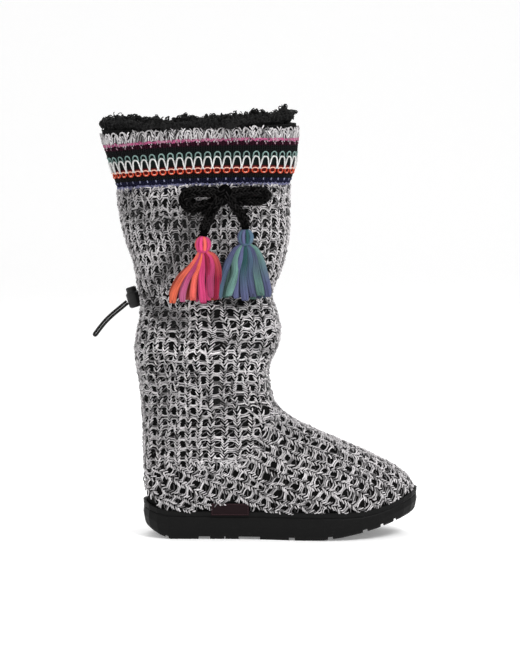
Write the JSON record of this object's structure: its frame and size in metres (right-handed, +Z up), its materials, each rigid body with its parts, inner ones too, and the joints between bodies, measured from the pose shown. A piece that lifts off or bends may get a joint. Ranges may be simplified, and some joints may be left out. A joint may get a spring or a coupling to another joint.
{
  "type": "knit slipper boot",
  "caption": "Tall knitted slipper boot with a striped cuff, fleece collar, cord bow with tassels, rear cord lock and a lugged rubber cup sole.",
  "frame": {"origin": "on the flat of the tread under the heel, on the line from heel to toe", "axes": "+X towards the toe, +Y towards the inner side of the right foot, +Z up the shaft"},
  "size_m": [0.3195, 0.1157, 0.4198],
  "materials": {
    "sole_rubber": "moulded, satin",
    "knit": "coarse marled waffle knit",
    "fleece": "curly pile",
    "label": "woven, bare",
    "black_cord": "crocheted",
    "tassel_pink": "loose roving",
    "tassel_blue": "loose roving",
    "lock_plastic": "moulded"
  },
  "bodies": {
    "boot": {"outsole": "sole_rubber", "insole": "fleece", "upper": "knit", "fleece_collar": "fleece", "side_label": "label", "bow_knot": "black_cord", "bow_loop_back": "black_cord", "bow_loop_front": "black_cord", "bow_tail_back": "black_cord", "bow_tail_front": "black_cord", "tassel_pink": "tassel_pink", "tassel_blue": "tassel_blue", "cord_lock_body": "lock_plastic", "drawcord_tail": "black_cord"},
    "lock_button": {"cord_lock_button": "lock_plastic"}
  },
  "joints": [
    {"name": "lock_button_press", "type": "slide", "parent": "boot", "child": "lock_button", "axis": [0.309, 0, -0.9511], "range_m": [0, 0.0035], "stiffness_N_per_m": 250}
  ]
}
